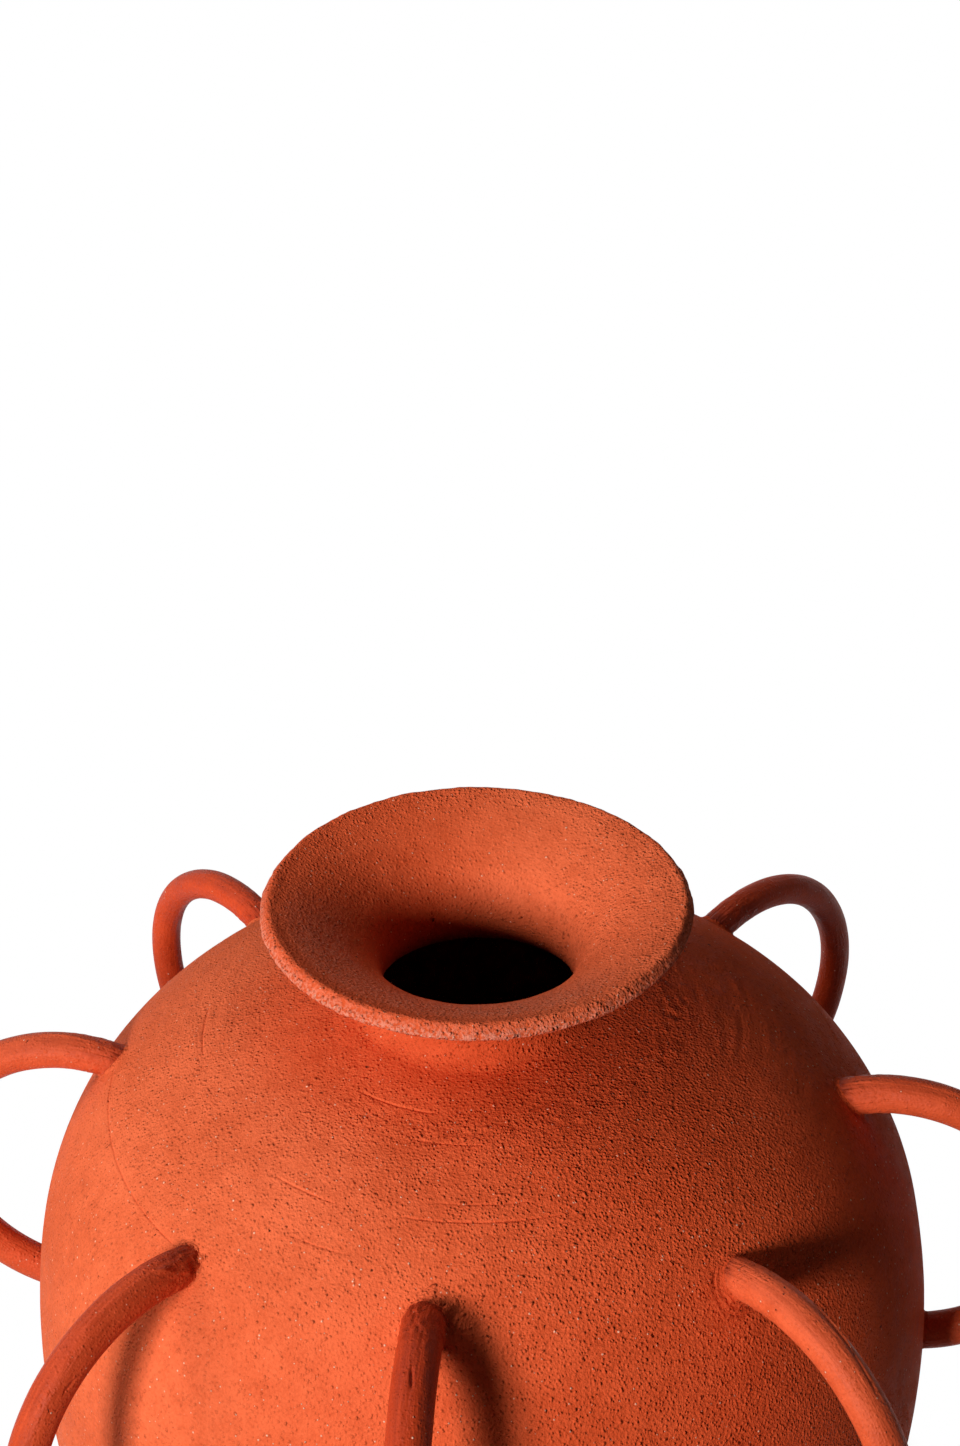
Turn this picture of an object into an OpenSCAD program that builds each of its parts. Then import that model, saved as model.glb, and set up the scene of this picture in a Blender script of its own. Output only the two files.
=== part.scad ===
// Terracotta vase with a flared neck and a ring of eight loop handles.
// It is put together as a potter does it: two thrown body halves, a thrown neck,
// rolled coils bent into loops, and a collar of soft clay luted round each root.
// Frame: +Z up, origin at the middle of the flat foot, front towards -Y.

/* [Body] */
// Diameter at the widest girth
belly_d = 330; // [300:1:360]
// Height of the widest girth above the foot
girth_z = 162; // [150:1:185]
// Diameter of the flat foot
foot_d = 184; // [160:1:220]
// Width of the trimmed bevel round the foot
foot_bevel = 3; // [1:0.5:6]
// Radius of the belly curve, in section
belly_arc = 260; // [220:1:320]
// Angle that the belly curve takes on each side of the girth
belly_turn = 12; // [8:0.5:16]
// Radius of the shoulder curve, in section
shoulder_arc = 105; // [95:1:115]
// Angle where the shoulder passes into the crown
shoulder_turn = 67; // [62:0.5:74]
// Radius of the crown curve, in section
crown_arc = 200; // [150:1:260]
// Thickness of the thrown wall
wall = 7; // [5:0.5:10]
// Thickness of the floor
floor_t = 9; // [6:0.5:14]

/* [Neck] */
// Outside diameter of the neck at its waist
neck_d = 80; // [70:1:100]
// Fillet radius where the neck grows out of the crown
root_fillet = 8; // [5:0.5:14]
// Radius of the curve inside the throat
throat_arc = 22; // [16:0.5:30]
// Angle that the throat curve takes
throat_turn = 53; // [40:1:60]
// Radius of the flare curve inside the rim
flare_arc = 95; // [70:1:130]
// Outside diameter of the rim
rim_d = 147; // [120:1:165]

/* [Handles] */
// Diameter of the rolled coil
coil_d = 12.8; // [10:0.2:16]
// Radius of a loop, to the middle of its coil
loop_r = 55; // [50:0.5:60]
// How far the middle of a loop lies inside the widest girth
loop_inset = 14; // [8:0.5:19]
// Height of the middle of a loop above the girth
loop_lift = 57; // [47:0.5:65]
// Turn of the ring of handles about the axis
ring_turn = -5; // [-20:0.5:20]
// How unevenly the handles were placed by hand, from none to as made
hand_share = 1; // [0:0.1:1]

/* [Luted joints] */
// Radius of the hollow cove of clay round a root
cove_r = 3.6; // [2.5:0.1:6]
// Least thickness of a collar at its edges
collar_edge = 1.2; // [1:0.1:2.5]
// Thickness of the slip in a luted joint
slip = 0.2; // [0.1:0.05:0.4]

/* [Hidden] */
$fn = 360;
coil_sides = 180;
// Most that a straight band of a thrown curve lies inside the true arc
curve_sag = 0.05;
clay = [0.78, 0.33, 0.18];
coil_clay = [0.70, 0.27, 0.15];
lute_clay = [0.64, 0.25, 0.14];

SIDES = ["front", "front_right", "right", "back_right", "back", "back_left", "left", "front_left"];

// Placement by hand, in the order of SIDES: degrees off the even spacing, millimetres of lift,
// and degrees that a loop is swung round its own upright
hand_turn = [-2.5, -1.5, -2, 4, 0, 0, -1.5, 4.5];
hand_lift = [3, -3.5, -2.5, -3, -3, -5.5, -5.5, -5.5];
hand_swing = [2.5, 0, -7, -3, 2, 1.5, -2.5, 3];

// Angle that a coil runs on past the middle of its root, before it is cut to the wall
root_run = 20;

coil_r = coil_d / 2;
belly_r = belly_d / 2;
loop_out = belly_r - loop_inset;
foot_r = foot_d / 2;
neck_r = neck_d / 2;
rim_r = rim_d / 2;

function dir(a) = [cos(a), sin(a)];
function arc_point(c, r, a) = c + r * dir(a);
function angle_of(v) = atan2(v[1], v[0]);

// Points along an arc, evenly spaced and without the last one, which the next arc starts with
function arc(c, r, a0, a1) =
    let (n = ceil(abs(a1 - a0) / (2 * acos(1 - curve_sag / r))))
    [for (k = [0 : n - 1]) arc_point(c, r, a0 + (a1 - a0) * k / n)];

// The section is a chain of arcs, each tangent to the next, in [radius, height above the foot]
belly_c = [belly_r - belly_arc, girth_z];
shoulder_c = belly_c + (belly_arc - shoulder_arc) * dir(belly_turn);
crown_c = shoulder_c + (shoulder_arc - crown_arc) * dir(shoulder_turn);

// The base curve leaves the belly curve at its lower end and runs through the edge of the foot
base_start = arc_point(belly_c, belly_arc, -belly_turn);
base_run = [foot_r, 0] - base_start;
base_arc = -(base_run * base_run) / (2 * base_run * dir(-belly_turn));
base_c = belly_c + (belly_arc - base_arc) * dir(-belly_turn);
bevel_a = angle_of([foot_r, 0] - base_c) + foot_bevel / base_arc * 180 / PI;
floor_a = asin((floor_t - base_c[1]) / (base_arc - wall));

// The neck's root fillet touches the crown, and its waist is level with the fillet's middle
root_x = neck_r + root_fillet;
waist_z = crown_c[1] + sqrt((crown_arc + root_fillet) ^ 2 - (root_x - crown_c[0]) ^ 2);
root_c = [root_x, waist_z];
seat_a = atan2(waist_z - crown_c[1], root_x - crown_c[0]);
throat_c = [neck_r - wall + throat_arc, waist_z];
flare_c = throat_c + (flare_arc - throat_arc) * dir(-throat_turn);
lip_arc = flare_arc - wall / 2;
lip_a = 180 - acos((flare_c[0] - rim_r + wall / 2) / lip_arc);
lip_c = arc_point(flare_c, lip_arc, lip_a);

// Heights between which the belly's and the shoulder's arcs bound the body
belly_low = arc_point(belly_c, belly_arc, -belly_turn)[1];
belly_high = arc_point(belly_c, belly_arc, belly_turn)[1];
shoulder_high = arc_point(shoulder_c, shoulder_arc, shoulder_turn)[1];

// The two points where circles meet, the one to the left of the line of centres first
function meet(c1, r1, c2, r2, side) =
    let (
        gap = norm(c2 - c1),
        along = (r1 * r1 - r2 * r2 + gap * gap) / (2 * gap),
        off = sqrt(r1 * r1 - along * along),
        e = (c2 - c1) / gap
    )
    c1 + along * e + side * off * [-e[1], e[0]];

function loop_c(i) = [loop_out, girth_z + loop_lift + hand_share * hand_lift[i]];
function loop_turn(i) = ring_turn + 360 / len(SIDES) * i + hand_share * hand_turn[i];
function loop_swing(i) = hand_share * hand_swing[i];
function upper_root(i) = meet(shoulder_c, shoulder_arc, loop_c(i), loop_r, 1);
function lower_root(i) = meet(belly_c, belly_arc, loop_c(i), loop_r, -1);

// Section of the part of a disc that lies right of the axis, between two heights
module disc_slice(c, r, low, high) {
    intersection() {
        translate(c)
            circle(r);
        translate([0, low])
            square([belly_d, high - low]);
    }
}

// The room that the body takes up behind the handles, grown by the slip, which trims what is luted on
module body_room() {
    rotate_extrude()
        union() {
            disc_slice(belly_c, belly_arc + slip, belly_low, belly_high);
            disc_slice(shoulder_c, shoulder_arc + slip, belly_high, shoulder_high);
            translate([0, belly_high])
                square([shoulder_c[0], shoulder_high - belly_high]);
        }
}

// Stands an upright plane, with its x outwards and its y upwards, at a turn about the axis
module at_turn(turn) {
    rotate(turn - 90)
        rotate([90, 0, 0])
            children();
}

// Stands a loop's own plane at its place on the ring, swung round the upright through its middle
module at_loop(i) {
    rotate(loop_turn(i) - 90)
        translate([loop_out, 0])
            rotate(loop_swing(i))
                rotate([90, 0, 0])
                    translate([-loop_out, 0])
                        children();
}

// A stretch of one loop's coil between two angles, grown by d and run on at both ends
module coil_arc(i, d, from_a, to_a) {
    translate(loop_c(i))
        rotate(from_a - root_run)
            rotate_extrude(angle = to_a - from_a + 2 * root_run)
                translate([loop_r, 0])
                    circle(coil_r + d, $fn = coil_sides);
}

// The lower half is thrown as a bowl, with a flat foot trimmed to a bevel
module lower_bowl() {
    color(clay)
        rotate_extrude()
            polygon(concat(
                [[0, 0], [foot_r - foot_bevel, 0]],
                arc(base_c, base_arc, bevel_a, -belly_turn),
                arc(belly_c, belly_arc, -belly_turn, 0),
                [[belly_r, girth_z]],
                arc(belly_c, belly_arc - wall, 0, -belly_turn),
                arc(base_c, base_arc - wall, -belly_turn, floor_a),
                [arc_point(base_c, base_arc - wall, floor_a), [0, floor_t]]
            ));
}

// The upper half is thrown apart, turned over and luted on at the girth
module shoulder_dome() {
    color(clay)
        rotate_extrude()
            polygon(concat(
                arc(belly_c, belly_arc, 0, belly_turn),
                arc(shoulder_c, shoulder_arc, belly_turn, shoulder_turn),
                arc(crown_c, crown_arc, shoulder_turn, seat_a),
                [arc_point(crown_c, crown_arc, seat_a)],
                arc(crown_c, crown_arc - wall, seat_a, shoulder_turn),
                arc(shoulder_c, shoulder_arc - wall, shoulder_turn, belly_turn),
                arc(belly_c, belly_arc - wall, belly_turn, 0),
                [[belly_r - wall, girth_z]]
            ));
}

// The neck seats on the crown's slanted edge, narrows to the throat and flares to a rounded lip
module neck_rim() {
    flare_a = 180 - throat_turn;
    color(clay)
        rotate_extrude()
            polygon(concat(
                [arc_point(crown_c, crown_arc, seat_a)],
                arc(root_c, root_fillet + wall, 180 + seat_a, 180),
                arc(throat_c, throat_arc, 180, flare_a),
                arc(flare_c, flare_arc, flare_a, lip_a),
                arc(lip_c, wall / 2, lip_a, lip_a - 180),
                arc(flare_c, flare_arc - wall, lip_a, flare_a),
                arc(throat_c, throat_arc - wall, flare_a, 180),
                arc(root_c, root_fillet, 180, 180 + seat_a)
            ));
}

// One loop: a round coil whose two ends are cut to the curve of the wall
module handle(i) {
    low_a = angle_of(lower_root(i) - loop_c(i));
    high_a = angle_of(upper_root(i) - loop_c(i));
    color(coil_clay)
        difference() {
            at_loop(i)
                coil_arc(i, 0, low_a, high_a);
            body_room();
        }
}

// A cove of soft clay, pressed into the corner between a coil's root and the wall.
// It stands square to the wall, and its ring is wide enough for the coil's lean
module collar(i, root, normal_a) {
    spoke = root - loop_c(i);
    root_a = angle_of(spoke);
    shift = atan2(spoke[0] * sin(loop_swing(i)), loop_out + spoke[0] * cos(loop_swing(i)));
    coil_way = [-spoke[1], spoke[0]] / loop_r;
    normal = dir(normal_a);
    square_on = coil_way[0] * normal[0] * cos(loop_swing(i) - shift) + coil_way[1] * normal[1];
    lean = acos(min(1, abs(square_on)));
    top = collar_edge + cove_r;
    base_r = coil_r + collar_edge + top * tan(lean) + cove_r;
    color(lute_clay)
        difference() {
            at_turn(loop_turn(i) + shift)
                translate(root)
                    rotate([0, 90, normal_a])
                        rotate_extrude()
                            difference() {
                                translate([0, -top])
                                    square([base_r, 2 * top]);
                                translate([base_r, top])
                                    circle(cove_r);
                            }
            at_loop(i)
                coil_arc(i, slip, root_a, root_a);
            body_room();
        }
}

module upper_collar(i) {
    collar(i, upper_root(i), angle_of(upper_root(i) - shoulder_c));
}

module lower_collar(i) {
    collar(i, lower_root(i), angle_of(lower_root(i) - belly_c));
}

lower_bowl();
shoulder_dome();
neck_rim();
for (i = [0 : len(SIDES) - 1]) {
    handle(i);
    upper_collar(i);
    lower_collar(i);
}
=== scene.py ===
"""Terracotta vase with a flared neck and a ring of eight coil handles, dressed over its solids."""
import math

import bpy
import numpy as np
from mathutils import Matrix


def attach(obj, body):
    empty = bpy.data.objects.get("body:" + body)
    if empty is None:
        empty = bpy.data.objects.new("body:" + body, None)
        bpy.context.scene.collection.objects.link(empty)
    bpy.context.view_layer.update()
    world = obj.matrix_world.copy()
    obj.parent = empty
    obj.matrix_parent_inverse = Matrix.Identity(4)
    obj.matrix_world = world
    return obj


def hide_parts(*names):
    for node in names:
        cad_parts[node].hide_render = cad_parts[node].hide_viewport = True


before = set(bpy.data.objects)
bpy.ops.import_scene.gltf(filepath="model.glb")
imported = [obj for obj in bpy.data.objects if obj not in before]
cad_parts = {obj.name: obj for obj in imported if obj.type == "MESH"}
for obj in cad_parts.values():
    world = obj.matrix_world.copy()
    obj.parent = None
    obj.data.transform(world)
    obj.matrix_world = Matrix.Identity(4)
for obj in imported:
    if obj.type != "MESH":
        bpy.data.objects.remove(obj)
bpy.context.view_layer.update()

MM = 0.001
TAU = 2 * math.pi

# Section of the thrown body and neck, the same driving sizes as the solids have
BELLY_R = 165 * MM
GIRTH_Z = 162 * MM
FOOT_R = 92 * MM
FOOT_BEVEL = 3 * MM
BELLY_ARC = 260 * MM
BELLY_TURN = math.radians(12)
SHOULDER_ARC = 105 * MM
SHOULDER_TURN = math.radians(67)
CROWN_ARC = 200 * MM
WALL = 7 * MM
FLOOR_T = 9 * MM
NECK_R = 40 * MM
ROOT_FILLET = 8 * MM
THROAT_ARC = 22 * MM
THROAT_TURN = math.radians(53)
FLARE_ARC = 95 * MM
RIM_R = 73.5 * MM

# Ring of handles, in the order of SIDES
SIDES = ("front", "front_right", "right", "back_right", "back", "back_left", "left", "front_left")
LOOP_R = 55 * MM
LOOP_OUT = 151 * MM
LOOP_LIFT = 57 * MM
RING_TURN = -5
# Placed by hand, so each is turned and swung by some degrees, and lifted by some millimetres
HAND_TURN = (-2.5, -1.5, -2, 4, 0, 0, -1.5, 4.5)
HAND_LIFT = (3, -3.5, -2.5, -3, -3, -5.5, -5.5, -5.5)
HAND_SWING = (2.5, 0, -7, -3, 2, 1.5, -2.5, 3)
# Thickness of each coil, reach of its dark roots and height of the ridges near its upper root, in millimetres
COIL_D = (13.6, 12.7, 13.2, 12.0, 12.4, 12.0, 13.2, 13.0)
COIL_CAP = (12, 9, 10, 11, 11, 11, 11, 19)
COIL_PRESS = (0.42, 0.22, 0.2, 0.22, 0.22, 0.22, 0.28, 0.38)
# How deep in colour each coil is, and how far it is painted paler, as painted light from the lamps
COIL_RICH = (0.26, 0, 0, 0.15, 0.15, 0.08, 0, 0)
COIL_LIT_PALE = (0, 0.6, 0.35, 0.1, 0.2, 0.1, 0.5, 0.25)

# How finely the surfaces are drawn
DENSE = 0.1 * MM
BODY_COLUMNS = 420
NECK_COLUMNS = 440
COIL_COLUMNS = 112
COIL_ROWS = 210
COLLAR_COLUMNS = 120
COLLAR_ROWS = 17

# Tones that all the clays share: paler as painted light from the lamps, rubbed pale, pale specks that are
# partly grog and partly painted glints, and pits painted near black as painted shade
LIT_PALE_TONE = (0.88, 0.164, 0.060, 1)
LIT_DEEP_TONE = (0.70, 0.114, 0.037, 1)
CHALK_TONE = (0.86, 0.38, 0.27, 1)
SPECK_GLINT_TONE = (1.0, 0.58, 0.40, 1)
PIT_SHADE_TONE = (0.05, 0.008, 0.004, 1)
# How far rubbed places, specks and pits take their tone, and the share of its deep tone that dark clay has,
# both its own deeper tone and painted shade
CHALK_SHARE = 0.65
SPECK_SHARE = 0.9
PIT_SHARE = 0.9
DEEP_AND_SHADE_SHARE = 0.38

# Marks that all the clays share: widths of their tones and drags, then cells, radii and heights
CLOUD_SIZE = 42 * MM
PATCH_SIZE = 7 * MM
DRAG_SIZE = 0.85 * MM
SPECK_CELL = 2.5 * MM
SPECK_R = 0.52 * MM
SPECK_RISE = 0.22 * MM
PIT_CELL = 3.0 * MM
PIT_R = 0.66 * MM
PIT_DEPTH = 0.5 * MM
# Noise that makes the pits ragged: its width, and how far it shifts their edges
PIT_STIR = 1.6 * MM
PIT_SHIFT = 2.2 * MM
# Heights of grit and fine roughness against the sand's, then of all three on sound clay and what wear adds
GRIT_RISE = 1.6
FINE_RISE = 1.5
SOUND_RISE = 2.3
WORN_RISE = 2.7

# Floor: its tone, the tone that bounced light meets, and the distances over which it fades to white
FLOOR_TONE = (0.86, 0.855, 0.85, 1)
FLOOR_BOUNCE = (0.05, 0.045, 0.04, 1)
FLOOR_FADE = (0.13, 0.21)
FLOOR_REACH = 12.0

# Light: strength from all round, then each lamp's place, width and power in watts
AMBIENT = 0.01
LAMPS = {
    "key": ((-1.16, -1.87, 0.92), 0.48, 49),
    "side": ((-1.78, 0.16, 1.62), 1.0, 18),
    "back": ((-0.6, 1.2, 2.0), 1.2, 4.5),
}
LAMP_AIM = (0, 0, 0.2)

# Camera: its place in metres, and its lens and frame in millimetres
CAMERA_PLACE = (0.0018, -0.6528, 0.785)
CAMERA_PITCH = math.radians(29.66)
CAMERA_ROLL = math.radians(-0.73)
CAMERA_LENS = 57.26
CAMERA_FRAME = 36


def polar(centre, radius, angle):
    """Point at an angle on a circle, in radius and height."""
    return np.array(centre) + radius * np.array([math.cos(angle), math.sin(angle)])


def arc(centre, radius, start, end):
    """Points along an arc, and their normals on the right of the way along it."""
    count = max(2, math.ceil(abs(end - start) * radius / DENSE))
    angle = np.linspace(start, end, count + 1)
    way = np.stack([np.cos(angle), np.sin(angle)], 1)
    return centre + radius * way, math.copysign(1, end - start) * way


def line(start, end):
    """Points along a straight stretch, and their normals on its right."""
    start, end = np.array(start), np.array(end)
    length = np.linalg.norm(end - start)
    share = np.linspace(0, 1, max(2, math.ceil(length / DENSE)) + 1)[:, None]
    normal = np.array([end[1] - start[1], start[0] - end[0]]) / length
    return start + share * (end - start), np.repeat(normal[None], len(share), 0)


def thrown_section():
    """The closed section of the clay, from the middle of the foot, up the outside, and down the inside."""
    belly_c = np.array([BELLY_R - BELLY_ARC, GIRTH_Z])
    shoulder_c = polar(belly_c, BELLY_ARC - SHOULDER_ARC, BELLY_TURN)
    crown_c = polar(shoulder_c, SHOULDER_ARC - CROWN_ARC, SHOULDER_TURN)
    base_start = polar(belly_c, BELLY_ARC, -BELLY_TURN)
    base_run = np.array([FOOT_R, 0]) - base_start
    base_arc = -(base_run @ base_run) / (2 * base_run @ polar((0, 0), 1, -BELLY_TURN))
    base_c = polar(belly_c, BELLY_ARC - base_arc, -BELLY_TURN)
    bevel_a = math.atan2(-base_c[1], FOOT_R - base_c[0]) + FOOT_BEVEL / base_arc
    floor_a = math.asin((FLOOR_T - base_c[1]) / (base_arc - WALL))
    root_x = NECK_R + ROOT_FILLET
    waist_z = crown_c[1] + math.sqrt((CROWN_ARC + ROOT_FILLET) ** 2 - (root_x - crown_c[0]) ** 2)
    root_c = np.array([root_x, waist_z])
    seat_a = math.atan2(waist_z - crown_c[1], root_x - crown_c[0])
    throat_c = np.array([NECK_R - WALL + THROAT_ARC, waist_z])
    flare_c = polar(throat_c, FLARE_ARC - THROAT_ARC, -THROAT_TURN)
    flare_a = math.pi - THROAT_TURN
    lip_arc = FLARE_ARC - WALL / 2
    lip_a = math.pi - math.acos((flare_c[0] - RIM_R + WALL / 2) / lip_arc)
    lip_c = polar(flare_c, lip_arc, lip_a)
    bevel_top = polar(base_c, base_arc, bevel_a)
    floor_edge = polar(base_c, base_arc - WALL, floor_a)
    stretches = {
        "foot": line((0, 0), (FOOT_R - FOOT_BEVEL, 0)),
        "bevel": line((FOOT_R - FOOT_BEVEL, 0), bevel_top),
        "base": arc(base_c, base_arc, bevel_a, -BELLY_TURN),
        "belly_low": arc(belly_c, BELLY_ARC, -BELLY_TURN, 0),
        "belly_high": arc(belly_c, BELLY_ARC, 0, BELLY_TURN),
        "shoulder": arc(shoulder_c, SHOULDER_ARC, BELLY_TURN, SHOULDER_TURN),
        "crown": arc(crown_c, CROWN_ARC, SHOULDER_TURN, seat_a),
        "root": arc(root_c, ROOT_FILLET, math.pi + seat_a, math.pi),
        "throat": arc(throat_c, THROAT_ARC - WALL, math.pi, flare_a),
        "flare": arc(flare_c, FLARE_ARC - WALL, flare_a, lip_a),
        "lip": arc(lip_c, WALL / 2, lip_a - math.pi, lip_a),
        "flare_in": arc(flare_c, FLARE_ARC, lip_a, flare_a),
        "throat_in": arc(throat_c, THROAT_ARC, flare_a, math.pi),
        "root_in": arc(root_c, ROOT_FILLET + WALL, math.pi, math.pi + seat_a),
        "crown_in": arc(crown_c, CROWN_ARC - WALL, seat_a, SHOULDER_TURN),
        "shoulder_in": arc(shoulder_c, SHOULDER_ARC - WALL, SHOULDER_TURN, BELLY_TURN),
        "belly_high_in": arc(belly_c, BELLY_ARC - WALL, BELLY_TURN, 0),
        "belly_low_in": arc(belly_c, BELLY_ARC - WALL, 0, -BELLY_TURN),
        "base_in": arc(base_c, base_arc - WALL, -BELLY_TURN, floor_a),
        "floor": line(floor_edge, (0, FLOOR_T)),
    }
    return stretches, belly_c, shoulder_c


STRETCHES, BELLY_C, SHOULDER_C = thrown_section()
SECTION = np.concatenate([points for points, _ in STRETCHES.values()])
SECTION_N = np.concatenate([normals for _, normals in STRETCHES.values()])
STEPS = np.linalg.norm(np.diff(SECTION, axis=0), axis=1)
RUN = np.concatenate([[0], np.cumsum(STEPS)])
ENDS = RUN[np.cumsum([len(points) for points, _ in STRETCHES.values()]) - 1]
START = dict(zip(STRETCHES, np.concatenate([[0], ENDS[:-1]])))
END = dict(zip(STRETCHES, ENDS))


def ramp(x, low, high):
    """Rises smoothly from 0 at low to 1 at high."""
    share = np.clip((x - low) / (high - low), 0, 1)
    return share * share * (3 - 2 * share)


def plateau(x, start, full, fall, end):
    """Rises smoothly from 0 at start to 1 at full, and falls back to 0 between fall and end."""
    return ramp(x, start, full) * (1 - ramp(x, fall, end))


def bump_at(x, middle, width):
    """A smooth hill of height 1 and of about that width."""
    return np.exp(-(((x - middle) / width) ** 2))


def facing(azimuth, degrees):
    """1 where the vase faces that many degrees to the right of the front, and -1 on the far side."""
    return np.cos(azimuth - math.radians(degrees))


def ring_noise(seed, turn, run, cells, length):
    """Smooth noise from -1 to 1 on a surface that closes with the turn: cells round it, one each length."""
    rows = 64
    lattice = np.random.default_rng(seed).uniform(-1, 1, (rows, cells))
    across = turn / TAU * cells
    along = run / length
    left, low = np.floor(across).astype(int), np.floor(along).astype(int)
    u, v = ramp(across - left, 0, 1), ramp(along - low, 0, 1)
    left, right = left % cells, (left + 1) % cells
    low, high = low % rows, (low + 1) % rows
    under = lattice[low, left] * (1 - u) + lattice[low, right] * u
    over = lattice[high, left] * (1 - u) + lattice[high, right] * u
    return under * (1 - v) + over * v


# Unevenness of the wall, the coils and the collars: first seed, cells round the ring and length along it
NOISE = {
    "waver": (1, 5, 90 * MM),
    "dents": (2, 34, 17 * MM),
    "throwing": (3, 7, 5.5 * MM),
    "drag_patches": (4, 13, 26 * MM),
    "drags": (5, 46, 2.6 * MM),
    "flare_lines": (6, 30, 1.9 * MM),
    "lip_lumps": (7, 90, 3 * MM),
    "rim_sway": (8, 5, 1),
    "worn_patches": (9, 11, 14 * MM),
    "torn_breaks": (10, 17, 6 * MM),
    # Uneven edge of the paler tone painted where the lamps light the clay
    "lit_edge": (11, 7, 60 * MM),
    "lip_grit": (12, 210, 1.8 * MM),
    "crumbs": (13, 140, 2.1 * MM),
    "coil_bulges": (100, 3, 45 * MM),
    "coil_flats": (120, 9, 38 * MM),
    "coil_ripples": (140, 30, 11 * MM),
    "coil_ridges": (160, 24, 1.5 * MM),
    "coil_caps": (180, 26, 2.2 * MM),
    "coil_streaks": (190, 44, 14 * MM),
    "collar_spread": (200, 7, 1),
    "collar_climb": (240, 6, 1),
    "collar_lumps": (280, 15, 0.3),
    "collar_scores": (320, 31, 1),
}

# Heights of the wall's relief
WAVER = 0.40 * MM
DENTS = 0.10 * MM
THROWING = 0.03 * MM
SHOULDER_THROWING = 0.05 * MM
DRAGS = 0.19 * MM
FLARE_LINES = 0.05 * MM
LIP_LUMPS = 0.16 * MM
LIP_GRIT = 0.15 * MM
LIP_EDGES = 0.6 * MM
LIP_THINNED = 1.9 * MM
CRUMBS = 0.45 * MM
RIM_SWAY = 0.7 * MM

# Where the clay differs round the vase, in degrees to the right of the front
TORN_SIDE = 35
GRAINY_SIDE = 75
RUBBED_SIDE = -40
CHALKY_SIDE = -25
# Side where the clay is painted paler, as painted light from the lamps
LIT_SIDE = -95

# How worn the wall is: all over, on its grainy side, the shoulder, the torn band and the lip
WORN_ALL = 0.06
WORN_GRAINY = 0.65
WORN_SHOULDER = 0.38
WORN_TORN = 0.8
WORN_LIP = 0.75

# Crumbled band below the neck
TORN_Z = 300.5 * MM
TORN_WIDTH = 6 * MM

# Lines scribed and dragged round the shoulder: height, first and last azimuth in degrees, depth
SCRIBES = (
    (267.8 * MM, -94, -47, 0.40 * MM),
    (291.2 * MM, -98, -78, 0.40 * MM),
    (289.05 * MM, -42, -25, 0.34 * MM),
    (281.8 * MM, -33, -21, 0.32 * MM),
    (289.5 * MM, -16, 17, 0.36 * MM),
    (291.9 * MM, -10, 11, 0.28 * MM),
    (301.8 * MM, -40, -11, 0.42 * MM),
    (299.0 * MM, -18, 2, 0.34 * MM),
    (267.2 * MM, 96, 150, 0.30 * MM),
)
SCRIBE_WIDTH = 0.4 * MM
SCRIBE_FADE = 4


def noise(kind, run, turn, number=0):
    """One kind of unevenness, from -1 to 1. The number tells pieces of the same kind apart."""
    seed, cells, length = NOISE[kind]
    return ring_noise(seed + number, turn, run, cells, length)


def run_at(height):
    """How far along the section the outside of the body reaches a height."""
    outside = RUN <= END["crown"]
    return np.interp(height, SECTION[outside, 1], RUN[outside])


def lip_at(share):
    """How far along the section a share of the lip's round edge lies, counted from below."""
    return START["lip"] + share * (END["lip"] - START["lip"])


def scribed(run, azimuth):
    """Depth of the scribed lines at places on the wall."""
    depth = 0
    degrees = np.degrees((azimuth + math.pi) % TAU - math.pi)
    for height, first, last, deep in SCRIBES:
        fade = plateau(degrees, first, first + SCRIBE_FADE, last - SCRIBE_FADE, last)
        depth = depth + deep * fade * bump_at(run, run_at(height), SCRIBE_WIDTH)
    return depth


def on_shoulder(run):
    """1 on the upper shoulder and crown, where tools were dragged round, and 0 elsewhere."""
    start = START["shoulder"]
    return plateau(run, start + 45 * MM, start + 85 * MM, END["crown"] - 4 * MM, END["root"])


def torn(run, azimuth):
    """1 in the middle of a crumbled band high on the shoulder, strongest on the right of the front."""
    broken = 0.75 + 0.25 * noise("torn_breaks", run, azimuth)
    return bump_at(run, run_at(TORN_Z), TORN_WIDTH) * broken * ramp(facing(azimuth, TORN_SIDE), -0.2, 0.9)


def wear(run, azimuth):
    """How strongly the wall is dragged, grainy and pitted: 1 at most, and below 0 where it is smoothest."""
    patchy = 0.5 + 0.5 * noise("worn_patches", run, azimuth)
    inside = plateau(run, START["flare_in"] + 2 * MM, START["flare_in"] + 12 * MM,
                     END["flare_in"] - 12 * MM, END["throat_in"])
    inside = inside * (1.3 * ramp(facing(azimuth, RUBBED_SIDE), -0.2, 0.7) - 0.45)
    lip = bump_at(run, lip_at(0.5), 7 * MM)
    worn = WORN_ALL + WORN_GRAINY * ramp(facing(azimuth, GRAINY_SIDE), 0, 0.9)
    worn = worn + WORN_SHOULDER * on_shoulder(run) * patchy
    worn = worn + WORN_TORN * torn(run, azimuth) + inside + WORN_LIP * lip
    return np.minimum(worn, 1)


def chalk(run, azimuth):
    """How far the lip's edge is rubbed pale, most on its left, and the front inside the flare a little."""
    edge = bump_at(run, lip_at(0.35), 3.2 * MM) * (0.55 + 0.45 * facing(azimuth, RUBBED_SIDE))
    inner = plateau(run, START["flare_in"], START["flare_in"] + 8 * MM,
                    END["flare_in"] - 10 * MM, END["flare_in"])
    return edge + 0.35 * inner * ramp(facing(azimuth, CHALKY_SIDE), 0.1, 0.8)


def painted_light(run, azimuth):
    """How far the clay is painted paler, as painted light where the lamps light it: most on the left, less
    near the crown, and on the right inside the flare.
    """
    uneven = 0.15 * noise("lit_edge", run, azimuth)
    left = ramp(facing(azimuth, LIT_SIDE) + uneven, -0.6, 0.75)
    left = left * (1 - 0.5 * ramp(run, END["crown"] - 45 * MM, END["crown"] - 15 * MM))
    outside = 0.12 + 0.88 * left
    right_in = 0.4 + 0.6 * ramp(np.sin(azimuth), -0.6, 0.5)
    inside = ramp(run, START["lip"], END["lip"])
    return outside * (1 - inside) + right_in * inside


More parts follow.
